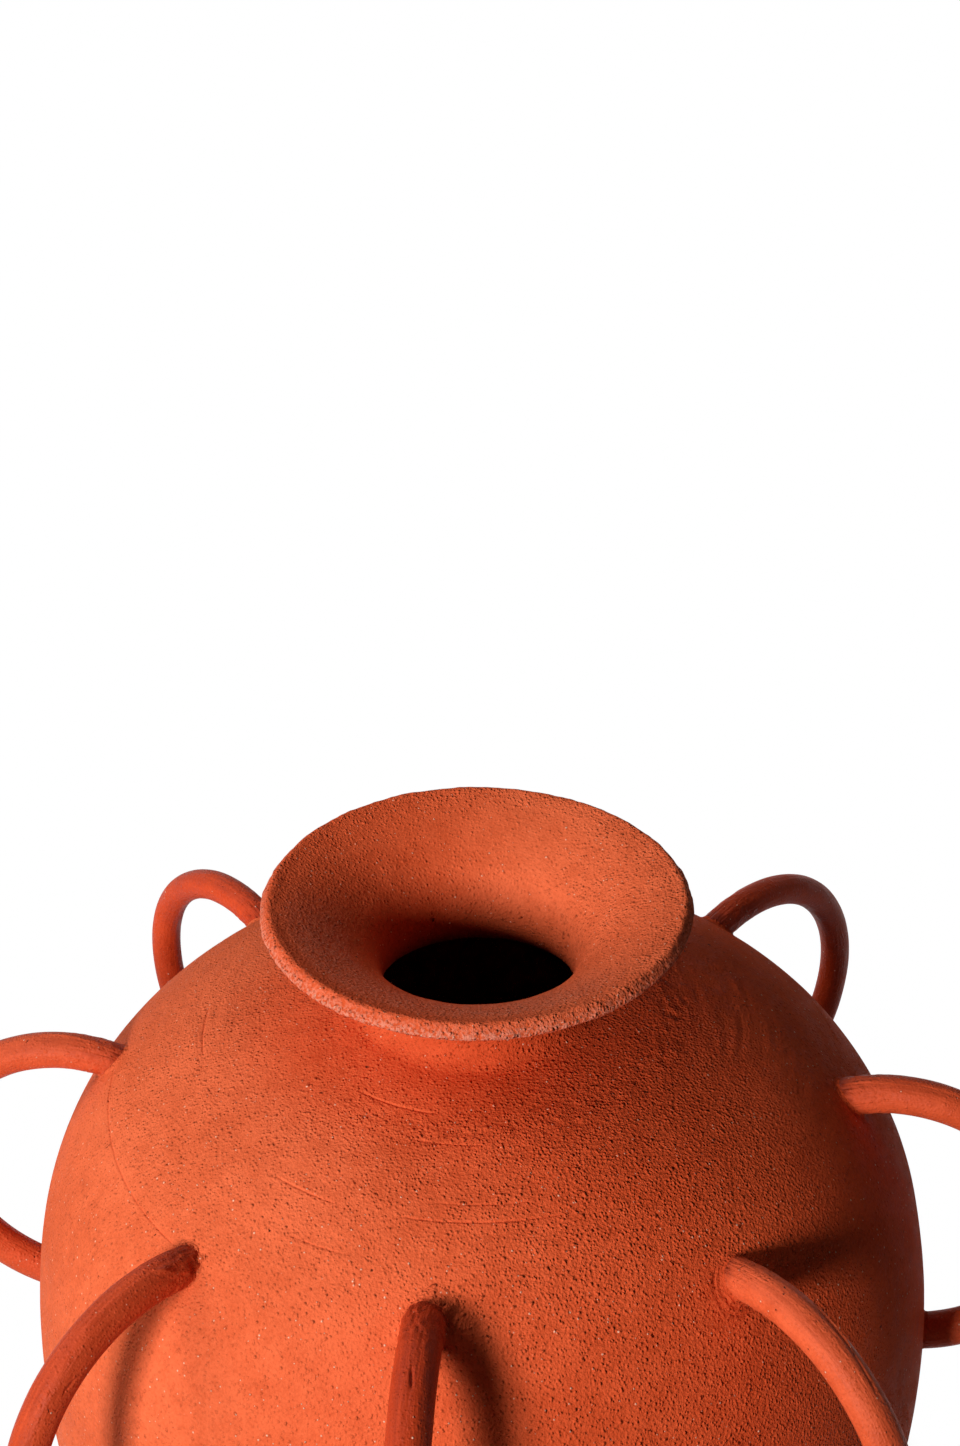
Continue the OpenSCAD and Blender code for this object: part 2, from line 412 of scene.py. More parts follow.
def shaded(run):
    """How much darker the clay is painted, as painted shade: a little round the root of the neck, and wholly
    inside the body.
    """
    root = plateau(run, END["crown"] - 60 * MM, END["crown"], START["throat"], END["throat"])
    return 0.22 * root + ramp(run, START["throat_in"], END["root_in"])


def wall_relief(run, azimuth):
    """How far the thrown wall stands off its true section."""
    thrown = plateau(run, START["base"] + 5 * MM, START["base"] + 40 * MM, START["root_in"], END["root_in"])
    flared = plateau(run, END["throat"], START["flare"] + 12 * MM, END["flare_in"], END["throat_in"])
    thinned = plateau(run, END["flare"] - 30 * MM, END["flare"], START["lip"], lip_at(0.35))
    lip = bump_at(run, lip_at(0.5), 5 * MM)
    lip_edges = bump_at(run, lip_at(0.42), 1.3 * MM) + bump_at(run, lip_at(0.78), 1.5 * MM)
    shoulder = on_shoulder(run)
    patchy = 0.5 + 0.5 * noise("drag_patches", run, azimuth)
    heights = {
        "waver": WAVER,
        "dents": DENTS,
        "throwing": THROWING + SHOULDER_THROWING * shoulder,
        "drags": DRAGS * shoulder * patchy,
        "flare_lines": FLARE_LINES * flared,
        "lip_lumps": LIP_LUMPS * lip,
        "lip_grit": LIP_GRIT * lip,
        "crumbs": CRUMBS * torn(run, azimuth),
    }
    relief = LIP_EDGES * lip_edges - LIP_THINNED * thinned
    for kind, height in heights.items():
        relief = relief + height * noise(kind, run, azimuth)
    return thrown * relief - scribed(run, azimuth)


def rim_sway(run, azimuth):
    """How far the rim rises and falls round its ring."""
    share = plateau(run, START["throat"], END["flare"], START["flare_in"], END["throat_in"])
    return RIM_SWAY * share * noise("rim_sway", 0 * run, azimuth)


def wall_point(run, azimuth):
    """Places on the clay's surface, by the way along the section and the azimuth from the front."""
    run, azimuth = np.broadcast_arrays(np.asarray(run, float), np.asarray(azimuth, float))
    relief = wall_relief(run, azimuth)
    radius = np.interp(run, RUN, SECTION[:, 0]) + relief * np.interp(run, RUN, SECTION_N[:, 0])
    height = np.interp(run, RUN, SECTION[:, 1]) + relief * np.interp(run, RUN, SECTION_N[:, 1])
    height = height + rim_sway(run, azimuth)
    return np.stack([radius * np.sin(azimuth), -radius * np.cos(azimuth), height], -1)


def wall_normal(run, azimuth):
    """Normals of the clay's surface, the same on both sides of a joint, and upright on the axis."""
    d_run = 0.15 * MM
    d_turn = 0.001
    least = 1e-12
    along = wall_point(run + d_run, azimuth) - wall_point(run - d_run, azimuth)
    across = wall_point(run, azimuth + d_turn) - wall_point(run, azimuth - d_turn)
    normal = np.cross(across, along)
    length = np.linalg.norm(normal, axis=-1, keepdims=True)
    plain = np.interp(run, RUN, SECTION_N[:, 1]) + 0 * azimuth
    upright = np.stack([0 * plain, 0 * plain, np.sign(plain)], -1)
    return np.where(length > least, normal / np.maximum(length, least), upright)


def add_mesh(name, points, faces, normals=None, uvs=None, flow=None, **levels):
    """A mesh piece with smooth faces, and its normals, map, flow of marks and levels where given."""
    mesh = bpy.data.meshes.new(name)
    mesh.from_pydata(points.tolist(), [], faces)
    mesh.polygons.foreach_set("use_smooth", np.ones(len(mesh.polygons), bool))
    if uvs is not None:
        layer = mesh.uv_layers.new(name="OFBake")
        layer.data.foreach_set("uv", np.asarray(uvs, np.float32).ravel())
    if flow is not None:
        attribute = mesh.attributes.new("flow", "FLOAT_VECTOR", "POINT")
        attribute.data.foreach_set("vector", np.asarray(flow, np.float32).ravel())
    for level, values in levels.items():
        attribute = mesh.attributes.new(level, "FLOAT", "POINT")
        attribute.data.foreach_set("value", np.asarray(values, np.float32).ravel())
    if normals is not None:
        mesh.normals_split_custom_set(normals.tolist())
    mesh.update()
    piece = bpy.data.objects.new(name, mesh)
    bpy.context.scene.collection.objects.link(piece)
    return piece


def grid_faces(rows, columns, closed):
    """Quads of a grid that closes in its columns, and in its rows where closed, with each corner's spot."""
    bands = rows if closed else rows - 1
    row, column = np.meshgrid(np.arange(bands), np.arange(columns), indexing="ij")
    after, beside = (row + 1) % rows, (column + 1) % columns
    quads = np.stack([row * columns + column, row * columns + beside,
                      after * columns + beside, after * columns + column], -1)
    spots = np.stack([np.stack([row, column], -1), np.stack([row, column + 1], -1),
                      np.stack([row + 1, column + 1], -1), np.stack([row + 1, column], -1)], -2)
    return quads.reshape(-1, 4), spots.reshape(-1, 4, 2)


def grid_map(spots, rows, columns):
    """Map of a grid's corners over the unit square."""
    return (spots[..., ::-1] / np.array([columns, rows])).reshape(-1, 2)


def face_normals(points, faces):
    """Unit normals of quads."""
    a, b, c, d = (points[faces[:, k]] for k in range(4))
    normal = np.cross(c - a, d - b)
    return normal / np.maximum(np.linalg.norm(normal, axis=1, keepdims=True), 1e-15)


# Marks dragged round the axis: how far they are drawn out, and the radius that they are laid on
RING_DRAW = 7
RING_FLOW_R = 110 * MM


def ring_flow(points, run):
    """Where marks dragged round the axis lie: drawn out along the ring, and true along the section."""
    radius = np.maximum(np.hypot(points[..., 0], points[..., 1]), 1e-6)
    return np.stack([points[..., 0] / radius * RING_FLOW_R / RING_DRAW,
                     points[..., 1] / radius * RING_FLOW_R / RING_DRAW, run + 0 * radius], -1)


def revolved_piece(name, runs, columns, flat_bands, creases):
    """A piece of the thrown wall, over rows of the section. Flat bands are joints, creases are edges."""
    azimuth = np.arange(columns) * TAU / columns
    grid = runs[:, None], azimuth[None, :]
    points = wall_point(*grid).reshape(-1, 3)
    smooth = wall_normal(*grid).reshape(-1, 3)
    faces, spots = grid_faces(len(runs), columns, True)
    flat = face_normals(points, faces)
    sharp = np.isin(spots[:, 0, 0], flat_bands)[:, None] | np.isin(faces // columns, creases)
    corners = np.where(sharp[..., None], flat[:, None, :], smooth[faces])
    return add_mesh(name, points, faces.tolist(), corners.reshape(-1, 3),
                    grid_map(spots, len(runs), columns), ring_flow(points, np.repeat(runs, columns)),
                    worn=wear(*grid), chalky=chalk(*grid), bloom=painted_light(*grid),
                    rich=np.repeat(shaded(runs), columns))


def rows_over(steps):
    """Rows over stretches of the section, each with its own step, without the last row of all."""
    rows = []
    for name, step in steps.items():
        count = max(1, round((END[name] - START[name]) / step))
        rows.append(np.linspace(START[name], END[name], count + 1)[:-1])
    return np.concatenate(rows)


def bowl_piece():
    """The lower half of the body, with its floor and flat foot, whose rows stop just short of the axis."""
    axis_gap = 0.4 * MM
    outside = rows_over({"foot": 8 * MM, "bevel": 1 * MM, "base": 2.6 * MM, "belly_low": 2.2 * MM})
    inside = rows_over({"belly_low_in": 5 * MM, "base_in": 5 * MM, "floor": 9 * MM})
    rows = np.concatenate([outside, [END["belly_low"]], inside, [END["floor"] - axis_gap]])
    rows[0] = axis_gap
    creases = [np.argmin(abs(rows - START[name])) for name in ("bevel", "base", "floor")]
    return revolved_piece("lower_bowl_clay", rows, BODY_COLUMNS, [len(outside), len(rows) - 1], creases)


def dome_piece():
    """The upper half of the body, with finer rows across each scribed line in place of those near it."""
    across_line = np.array([-0.95, -0.6, -0.35, -0.15, 0, 0.15, 0.35, 0.6, 0.95]) * MM
    finer = np.concatenate([run_at(height) + across_line for height, *_ in SCRIBES])
    outside = rows_over({"belly_high": 2.4 * MM, "shoulder": 1.4 * MM, "crown": 1.2 * MM})
    clear = np.abs(outside[:, None] - finer[None, :]).min(1) > 0.3 * MM
    clear[0] = True
    outside = np.sort(np.concatenate([outside[clear], finer]))
    inside = rows_over({"crown_in": 6 * MM, "shoulder_in": 6 * MM, "belly_high_in": 8 * MM})
    rows = np.concatenate([outside, [END["crown"]], inside, [END["belly_high_in"]]])
    return revolved_piece("shoulder_dome_clay", rows, BODY_COLUMNS, [len(outside), len(rows) - 1], [])


def neck_piece():
    """The neck and its flared rim, in fine rows inside and out."""
    rows = rows_over({"root": 0.7 * MM, "throat": 0.75 * MM, "flare": 0.85 * MM, "lip": 0.4 * MM,
                      "flare_in": 0.75 * MM, "throat_in": 0.8 * MM, "root_in": 1.3 * MM})
    rows = np.concatenate([rows, [END["root_in"]]])
    return revolved_piece("neck_rim_clay", rows, NECK_COLUMNS, [len(rows) - 1], [])


def loop_frame(i):
    """The middle of a loop, and the outward and sideways directions of its swung plane."""
    azimuth = math.radians(RING_TURN + 360 / len(SIDES) * i + HAND_TURN[i])
    swung = azimuth + math.radians(HAND_SWING[i])
    height = GIRTH_Z + LOOP_LIFT + HAND_LIFT[i] * MM
    middle = np.array([LOOP_OUT * math.sin(azimuth), -LOOP_OUT * math.cos(azimuth), height])
    out = np.array([math.sin(swung), -math.cos(swung), 0])
    side = np.array([math.cos(swung), math.sin(swung), 0])
    return middle, out, side


# Heights of every coil's unevenness, and the angles on the loop between which its ridges set in
COIL_HEIGHTS = {"coil_bulges": 0.24 * MM, "coil_flats": 0.12 * MM, "coil_ripples": 0.06 * MM}
PRESS_START = math.radians(86)
PRESS_FULL = math.radians(104)

# Cuts and ridges along single coils: first and last angle on the loop, first and last turn round the
# coil, in degrees, then width and depth, which is negative for a ridge
COIL_MARKS = {
    "front": ((76.5, 84.5, 2, -6, 0.42 * MM, 1.1 * MM), (66, 78, -6, -2, 0.35 * MM, 0.25 * MM),
              (90, 95, 8, 34, 0.6 * MM, -0.3 * MM)),
    "front_right": ((63, 82, 28, 40, 0.6 * MM, -0.55 * MM), (62, 80, 20, 33, 0.5 * MM, 0.45 * MM),
                    (48, 66, 8, 22, 0.45 * MM, 0.25 * MM)),
    "front_left": ((93, 98, 22, 40, 0.9 * MM, -0.6 * MM), (47, 54, 70, 78, 0.5 * MM, 0.5 * MM),
                   (60, 92, 2, 10, 0.4 * MM, 0.2 * MM)),
    "left": ((80, 104, -8, 6, 0.5 * MM, -0.25 * MM),),
    "right": ((70, 98, -20, -10, 0.5 * MM, 0.2 * MM),),
}

# Marks along the coils: how far they are drawn out, and the radius that they are laid on
COIL_DRAW = 9
COIL_FLOW_R = 6 * MM


def coil_marks(i, angle, psi):
    """Depth of the cuts along a coil, below 0 on its ridges."""
    depth = 0 * angle
    degrees = np.degrees(angle)
    for first, last, turn_first, turn_last, width, deep in COIL_MARKS.get(SIDES[i], ()):
        share = (degrees - first) / (last - first)
        middle = np.radians(turn_first + (turn_last - turn_first) * share)
        off = ((psi - middle + math.pi) % TAU - math.pi) * COIL_D[i] / 2 * MM
        depth = depth + deep * plateau(share, 0, 0.25, 0.75, 1) * bump_at(off, 0, width)
    return depth


def coil_radius(i, angle, psi):
    """Radius of a hand-rolled coil, by the angle along its loop and the turn round it."""
    run = LOOP_R * angle
    radius = COIL_D[i] / 2 * MM
    for kind, height in COIL_HEIGHTS.items():
        radius = radius + height * noise(kind, run, psi, i)
    pressed = ramp(angle, PRESS_START, PRESS_FULL)
    radius = radius + COIL_PRESS[i] * MM * pressed * noise("coil_ridges", run, psi, i)
    return radius - coil_marks(i, angle, psi)


def coil_point(i, angle, psi, lift=0):
    """Places on a coil's surface: psi is 0 on the outside of the loop, and lift stands off it."""
    angle, psi = np.broadcast_arrays(np.asarray(angle, float), np.asarray(psi, float))
    middle, out, side = loop_frame(i)
    up = np.array([0, 0, 1.0])
    spoke = np.cos(angle)[..., None] * out + np.sin(angle)[..., None] * up
    radius = coil_radius(i, angle, psi) + lift
    round_coil = np.cos(psi)[..., None] * spoke + np.sin(psi)[..., None] * side
    return middle + LOOP_R * spoke + radius[..., None] * round_coil


def root_angle(i, psi, upper, sink):
    """The angle along a loop where its coil has sunk that deep under the wall, for each turn psi."""
    first_angle = 50
    last_angle = 175
    steps = 1600
    centre, radius = (SHOULDER_C, SHOULDER_ARC) if upper else (BELLY_C, BELLY_ARC)
    angle = np.radians(np.linspace(first_angle, last_angle, steps)) * (1 if upper else -1)
    points = coil_point(i, angle[:, None], psi[None, :])
    r, z = np.hypot(points[..., 0], points[..., 1]), points[..., 2]
    depth = radius - np.hypot(r - centre[0], z - centre[1])
    first = np.argmax(depth > sink, axis=0)
    column = np.arange(len(psi))
    d0, d1 = depth[first - 1, column], depth[first, column]
    share = (sink - d0) / (d1 - d0)
    return angle[first - 1] + share * (angle[first] - angle[first - 1])


def coil_levels(i, psi, run, near_root):
    """How worn a coil is, most at its roots, and how deep in colour, most there, with painted shade along the
    outside of the loop.
    """
    worn = 0.4 + 0.6 * (1 - ramp(near_root, 6 * MM, 22 * MM))
    cap = 1 - ramp(near_root, 3 * MM, COIL_CAP[i] * MM)
    cap = cap * (0.5 + 0.5 * noise("coil_caps", near_root, psi, i))
    streaks = 0.55 + 0.45 * noise("coil_streaks", run, psi, i)
    # Along the outside of the loop the coil is painted darker, as painted shade
    shaded_outside = ramp(np.cos(psi), 0.2, 0.9) * streaks
    rich = COIL_RICH[i] + 0.42 * shaded_outside + 0.95 * cap * (0.5 + 0.5 * np.cos(psi))
    return worn, np.clip(rich, 0, 1)


def handle_piece(i):
    """One loop, its ends cut to the curve of the wall and sunk a little into it."""
    sink = 2.5 * MM
    psi = np.arange(COIL_COLUMNS) * TAU / COIL_COLUMNS
    low, high = root_angle(i, psi, False, sink), root_angle(i, psi, True, sink)
    angle = low + np.linspace(0, 1, COIL_ROWS)[:, None] * (high - low)
    points = coil_point(i, angle, psi[None, :])
    ends = points[[0, -1]].mean(1)
    run = LOOP_R * angle
    flow = np.stack([np.cos(psi) * COIL_FLOW_R + 0 * run, np.sin(psi) * COIL_FLOW_R + 0 * run,
                     run / COIL_DRAW], -1)
    worn, rich = coil_levels(i, psi, run, np.minimum(angle - low, high - angle) * LOOP_R)
    faces, spots = grid_faces(COIL_ROWS, COIL_COLUMNS, False)
    faces = faces.tolist()
    count = COIL_ROWS * COIL_COLUMNS
    for k in range(COIL_COLUMNS):
        beside = (k + 1) % COIL_COLUMNS
        faces.append([count, beside, k])
        faces.append([count + 1, count - COIL_COLUMNS + k, count - COIL_COLUMNS + beside])
    # The end faces are hidden in the wall, so they share one small corner of the map
    end_map = np.tile([(0.5, 0.998), (0.51, 0.999), (0.5, 0.999)], (2 * COIL_COLUMNS, 1))
    uvs = np.concatenate([grid_map(spots, COIL_ROWS, COIL_COLUMNS), end_map])
    points = np.concatenate([points.reshape(-1, 3), ends])
    flow = np.concatenate([flow.reshape(-1, 3), np.zeros((2, 3))])
    return add_mesh("handle_" + SIDES[i] + "_clay", points, faces, None, uvs, flow,
                    worn=np.concatenate([worn.ravel(), [1, 1]]), rich=np.concatenate([rich.ravel(), [1, 1]]),
                    bloom=np.full(len(points), COIL_LIT_PALE[i]))


# Upper roots whose luting shows: the turn and width of the smear in degrees, how much further it
# reaches, and the depths of the finger marks round it and of the scoring across it
SMEARS = {
    "front": (40, 50, 4.2 * MM, 0.02 * MM, 1.0 * MM),
    "front_right": (-125, 60, 5.4 * MM, 0.60 * MM, 0.12 * MM),
    "front_left": (25, 70, 1.0 * MM, 0.10 * MM, 0.85 * MM),
    "left": (180, 75, 4.2 * MM, 0.40 * MM, 0.45 * MM),
    "right": (-150, 60, 2.4 * MM, 0.20 * MM, 0.15 * MM),
}
PLAIN_SMEAR = (150, 80, 1.8 * MM, 0.08 * MM, 0.08 * MM)

# Collars: reach on the wall and the coil, height of lumps, and how deep the hidden edges sink
COLLAR_SPREAD = 1.5 * MM
COLLAR_CLIMB = 1.5 * MM
COLLAR_LUMP = 0.16 * MM
COLLAR_PROUD = 0.1 * MM
COLLAR_TUCK = 0.04 * MM
WALL_SINK = 0.7 * MM
COIL_SINK = 0.6 * MM
UNDER_SINK = 0.8 * MM
# Finger marks across a smear, the wear of the luting clay, and where its marks are laid
FINGERS = 4
COLLAR_WORN = 0.9
COLLAR_FLOW_R = 2 * MM
COLLAR_FLOW_STEP = 0.3 * MM


def collar_piece(i, upper):
    """A smear of luting clay, feathered from the wall up on to a coil's root."""
    number = 2 * i + upper
    psi = np.arange(COLLAR_COLUMNS) * TAU / COLLAR_COLUMNS
    away_from_wall = -1 if upper else 1
    foot = root_angle(i, psi, upper, 0)
    corner = coil_point(i, foot, psi)
    run = run_at(corner[:, 2])
    turn = np.unwrap(np.arctan2(corner[:, 0], -corner[:, 1]))
    radius = np.hypot(corner[:, 0], corner[:, 1])
    away = np.stack([run - run.mean(), (turn - turn.mean()) * radius], 1)
    away = away / np.linalg.norm(away, axis=1, keepdims=True)
    smear = SMEARS.get(SIDES[i], PLAIN_SMEAR) if upper else PLAIN_SMEAR
    smear_turn, smear_width, reach, finger, score = smear
    off = (psi - math.radians(smear_turn) + math.pi) % TAU - math.pi
    smeared = bump_at(off, 0, math.radians(smear_width))
    ragged = noise("collar_scores", 0 * psi, psi, number)
    spread = COLLAR_SPREAD + 0.5 * MM * noise("collar_spread", 0 * psi, psi, number) + 0.35 * MM * ragged
    spread = spread + reach * smeared
    climb = COLLAR_CLIMB + 0.6 * MM * noise("collar_climb", 0 * psi, psi, number) + 0.4 * reach * smeared
    edge_run, edge_turn = run + spread * away[:, 0], turn + spread * away[:, 1] / radius
    base, base_n = wall_point(edge_run, edge_turn), wall_normal(edge_run, edge_turn)
    tip_angle = foot + away_from_wall * climb / LOOP_R
    tip = coil_point(i, tip_angle, psi)
    tip_n = (coil_point(i, tip_angle, psi, MM) - tip) / MM
    rows = [base - WALL_SINK * base_n]
    for t in np.linspace(0, 1, COLLAR_ROWS):
        place = (1 - t) ** 2 * base + 2 * t * (1 - t) * corner + t * t * tip
        lump = COLLAR_LUMP * noise("collar_lumps", t + 0 * psi, psi, number)
        lump = lump + finger * smeared * math.sin(TAU * FINGERS * t) + score * smeared * ragged
        lump = (lump + COLLAR_PROUD) * math.sin(math.pi * t) - COLLAR_TUCK
        rows.append(place + lump[:, None] * ((1 - t) * base_n + t * tip_n))
    rows.append(coil_point(i, tip_angle, psi, -COIL_SINK))
    rows.append(coil_point(i, foot - away_from_wall * MM / LOOP_R, psi, -UNDER_SINK))
    points = np.stack(rows)
    count = len(rows)
    ring = COLLAR_FLOW_R * np.stack([np.cos(psi), np.sin(psi)], 1)
    flow = np.stack([np.column_stack([ring, np.full(len(psi), k * COLLAR_FLOW_STEP)]) for k in range(count)])
    seam_shade = np.zeros((count, COLLAR_COLUMNS))
    if upper:
        # Columns run the other way round an upper root, and its edges are painted dark on the outside of the
        # loop, as painted shade where it meets the wall and the coil.
        points, flow = points[:, ::-1], flow[:, ::-1]
        dark = 0.75 * ramp(np.cos(psi), -0.3, 0.6) * (0.6 + 0.4 * ragged)
        seam_shade[[1, 2, count - 4, count - 3]] = dark[::-1]
    faces, spots = grid_faces(count, COLLAR_COLUMNS, True)
    name = ("upper" if upper else "lower") + "_collar_" + SIDES[i] + "_clay"
    # A collar is painted as pale as the wall round it, the same painted light
    wall_lit_pale = float(painted_light(run.mean(), turn.mean()))
    return add_mesh(name, points.reshape(-1, 3), faces.tolist(), None,
                    grid_map(spots, count, COLLAR_COLUMNS), flow.reshape(-1, 3),
                    worn=np.full(seam_shade.size, COLLAR_WORN), bloom=np.full(seam_shade.size, wall_lit_pale),
                    rich=np.clip(seam_shade, 0, 1))


class Graph:
    """The node tree of a material or world, with one short call for each node."""

    def __init__(self, owner):
        owner.use_nodes = True
        self.tree = owner.node_tree

    def add(self, kind, inputs=(), output=0, **settings):
        """Adds a node, sets or links its inputs by name or number, and returns one of its outputs."""
        node = self.tree.nodes.new(kind)
        for name, value in settings.items():
            setattr(node, name, value)
        for socket, value in dict(inputs).items():
            self.put(node.inputs[socket], value)
        return node.outputs[output]

    def put(self, socket, value):
        """Links an output to an input, or sets a plain value on it."""
        if isinstance(value, bpy.types.NodeSocket):
            self.tree.links.new(value, socket)
        else:
            socket.default_value = value

    def math(self, operation, a, b=0.0, c=0.0):
        """One operation on values."""
        return self.add("ShaderNodeMath", {0: a, 1: b, 2: c}, operation=operation)

    def level(self, name):
        """A level that the mesh carries at its points."""
        return self.add("ShaderNodeAttribute", output=2, attribute_name=name)

    def noise(self, place, size, detail, rough=0.5):
        """Cloudy noise of about that size."""
        return self.add("ShaderNodeTexNoise", {"Vector": place, "Scale": 1 / size, "Detail": detail,
                                               "Roughness": rough})

    def grade(self, value, low, high, to_low=0.0, to_high=1.0):
        """Goes smoothly from one level to another while the value goes from low to high."""
        return self.add("ShaderNodeMapRange", {"Value": value, "From Min": low, "From Max": high,
                                               "To Min": to_low, "To Max": to_high},
                        interpolation_type="SMOOTHSTEP")

    def mix(self, share, a, b):
        """A colour between two others."""
        return self.add("ShaderNodeMix", {0: share, 6: a, 7: b}, output=2, data_type="RGBA")

    def grains(self, place, cell, widest, kept, least, level=0.3):
        """Grains, one in a cell at most: 1 in the middle of each, 0 outside.

        Kept is the share of cells that hold one, least the share of the widest radius that each has, and
        level the share of its own radius over which a grain is flat.
        """
        cells = self.tree.nodes.new("ShaderNodeTexVoronoi")
        self.put(cells.inputs["Vector"], place)
        self.put(cells.inputs["Scale"], 1 / cell)
        parts = self.tree.nodes.new("ShaderNodeSeparateColor")
        self.tree.links.new(cells.outputs["Color"], parts.inputs[0])
        spare = self.math("MULTIPLY", parts.outputs[0], parts.outputs[0])
        radius = self.add("ShaderNodeMapRange", {"Value": spare, "To Min": least * widest / cell,
                                                 "To Max": widest / cell})
        disc = self.grade(cells.outputs["Distance"], radius, self.math("MULTIPLY", radius, level))
        return self.math("MULTIPLY", disc, self.math("LESS_THAN", parts.outputs[1], kept))

    def weigh(self, value, middle, height):
        """A height in metres that rises and falls with a value about its middle."""
        return self.math("MULTIPLY", self.math("SUBTRACT", value, middle), height)

    def seen(self):
        """1 for rays that the camera sees, also by way of gloss or glass, and 0 for the rest."""
        path = self.tree.nodes.new("ShaderNodeLightPath")
        clear = self.math("MAXIMUM", path.outputs["Is Glossy Ray"], path.outputs["Is Transmission Ray"])
        return self.math("MAXIMUM", path.outputs["Is Camera Ray"], clear)


def clay_material(name, pale, deep, size, grain, drag, pits, specks, gloss, shine):
    """Fired, unglazed clay.

    Pale and deep are its tones. Size is the width of its grains, and grain and drag the heights of its
    marks, in metres. Specks is the share of places that hold one, pits the same where the clay is fully
    worn, gloss its least and greatest roughness, and shine its specular level.
    """
    material = bpy.data.materials.new(name)
    g = Graph(material)
    place = g.add("ShaderNodeTexCoord", output=3)
    flow = g.add("ShaderNodeAttribute", output=1, attribute_name="flow")
    worn, chalky, rich, bloom = (g.level(level) for level in ("worn", "chalky", "rich", "bloom"))

    # Marks
    cloud = g.noise(place, CLOUD_SIZE, detail=4)
    patch = g.noise(place, PATCH_SIZE, detail=3)
    fine = g.noise(place, 0.85 * size, detail=3, rough=0.55)
    dragged = g.noise(flow, DRAG_SIZE, detail=3, rough=0.55)
    sand = g.grains(place, size, widest=0.62 * size, kept=0.6, least=0.8, level=0.0)
    grit = g.grains(place, 1.9 * size, widest=0.8 * size, kept=0.45, least=0.75, level=0.0)
    light = g.grains(place, SPECK_CELL, widest=SPECK_R, kept=specks, least=0.5)
    stir = g.add("ShaderNodeTexNoise", {"Vector": place, "Scale": 1 / PIT_STIR, "Detail": 1.0}, output=1)
    ragged = g.add("ShaderNodeVectorMath", {0: stir, 1: (PIT_SHIFT,) * 3, 2: place}, operation="MULTIPLY_ADD")
    pitted = g.math("MULTIPLY_ADD", worn, pits, 0.02)
    dark = g.grains(ragged, PIT_CELL, widest=PIT_R, kept=pitted, least=0.5)

    # Colour
    tone = g.math("ADD", g.math("MULTIPLY", cloud, 0.35), g.math("MULTIPLY", patch, 0.3))
    tone = g.math("ADD", tone, g.math("MULTIPLY", fine, 0.35))
    # Paler where the clay is painted light: painted light on the side the lamps light most, and on the lit
    # coils
    colour = g.mix(g.grade(tone, 0.36, 0.64), g.mix(bloom, deep, LIT_DEEP_TONE), g.mix(bloom, pale, LIT_PALE_TONE))
    # Darker towards a share of the deep tone: the coils' own deeper tone, darker coil roots, and painted
    # shade round the neck's root, inside the body, along the coils' outsides and at the upper collars' edges
    colour = g.mix(rich, colour, tuple(DEEP_AND_SHADE_SHARE * level for level in deep[:3]) + (1,))
    rubbed = g.math("MULTIPLY", chalky, g.grade(fine, 0.38, 0.6))
    colour = g.mix(g.math("MULTIPLY", rubbed, CHALK_SHARE), colour, CHALK_TONE)
    # Pale specks: grog specks, and painted glints of light on the grains
    colour = g.mix(g.math("MULTIPLY", light, SPECK_SHARE), colour, SPECK_GLINT_TONE)
    # Pits painted near black, as painted shade inside them; more of them where the clay is worn
    colour = g.mix(g.math("MULTIPLY", dark, PIT_SHARE), colour, PIT_SHADE_TONE)

    # Height
    height = g.math("ADD", g.math("MULTIPLY", sand, grain), g.math("MULTIPLY", grit, GRIT_RISE * grain))
    height = g.math("ADD", height, g.weigh(fine, 0.5, FINE_RISE * grain))
    height = g.math("MULTIPLY", height, g.math("MULTIPLY_ADD", worn, WORN_RISE, SOUND_RISE))
    height = g.math("ADD", height, g.math("MULTIPLY", g.weigh(dragged, 0.5, drag), worn))
    height = g.math("SUBTRACT", height, g.math("MULTIPLY", dark, PIT_DEPTH))
    height = g.math("ADD", height, g.math("MULTIPLY", light, SPECK_RISE))

    normal = g.add("ShaderNodeBump", {"Height": height, "Distance": 1.0, "Strength": 1.0})

    shader = g.tree.nodes["Principled BSDF"]
    g.put(shader.inputs["Base Color"], colour)
    g.put(shader.inputs["Normal"], normal)
    g.put(shader.inputs["Roughness"], g.grade(patch, 0.3, 0.7, *gloss))
    shader.inputs["Specular IOR Level"].default_value = shine
    return material


def floor_material():
    """A pale floor that holds the shadow near the foot, and is white to the camera further off.

    It throws back little of the lamps' light, so that the vase keeps its shaded side.
    """
    material = bpy.data.materials.new("pale_floor")
    g = Graph(material)
    shader = g.tree.nodes["Principled BSDF"]
    path = g.tree.nodes.new("ShaderNodeLightPath")
    g.put(shader.inputs["Base Color"], g.mix(path.outputs["Is Diffuse Ray"], FLOOR_TONE, FLOOR_BOUNCE))
    shader.inputs["Roughness"].default_value = 0.9
    place = g.add("ShaderNodeTexCoord", output=3)
    far = g.add("ShaderNodeVectorMath", {0: place}, output=1, operation="LENGTH")
    share = g.math("MULTIPLY", g.seen(), g.grade(far, *FLOOR_FADE))
    white = g.add("ShaderNodeEmission")
    mixed = g.add("ShaderNodeMixShader", {0: share, 1: shader.outputs[0], 2: white})
    g.put(g.tree.nodes["Material Output"].inputs["Surface"], mixed)
    return material


def add_floor():
    """A flat round floor under the foot."""
    rings = 12
    columns = 96
    hub = 0.02
    first_ring = 0.1
    turn = np.arange(columns) * TAU / columns
    radius = np.concatenate([[hub], np.geomspace(first_ring, FLOOR_REACH, rings)])
    points = [[r * math.sin(a), r * math.cos(a), 0.0] for r in radius for a in turn]
    faces, _ = grid_faces(len(radius), columns, False)
    faces = [list(reversed(face)) for face in faces.tolist()] + [list(range(columns - 1, -1, -1))]
    floor = add_mesh("floor", np.array(points), faces)
    floor.data.materials.append(floor_material())


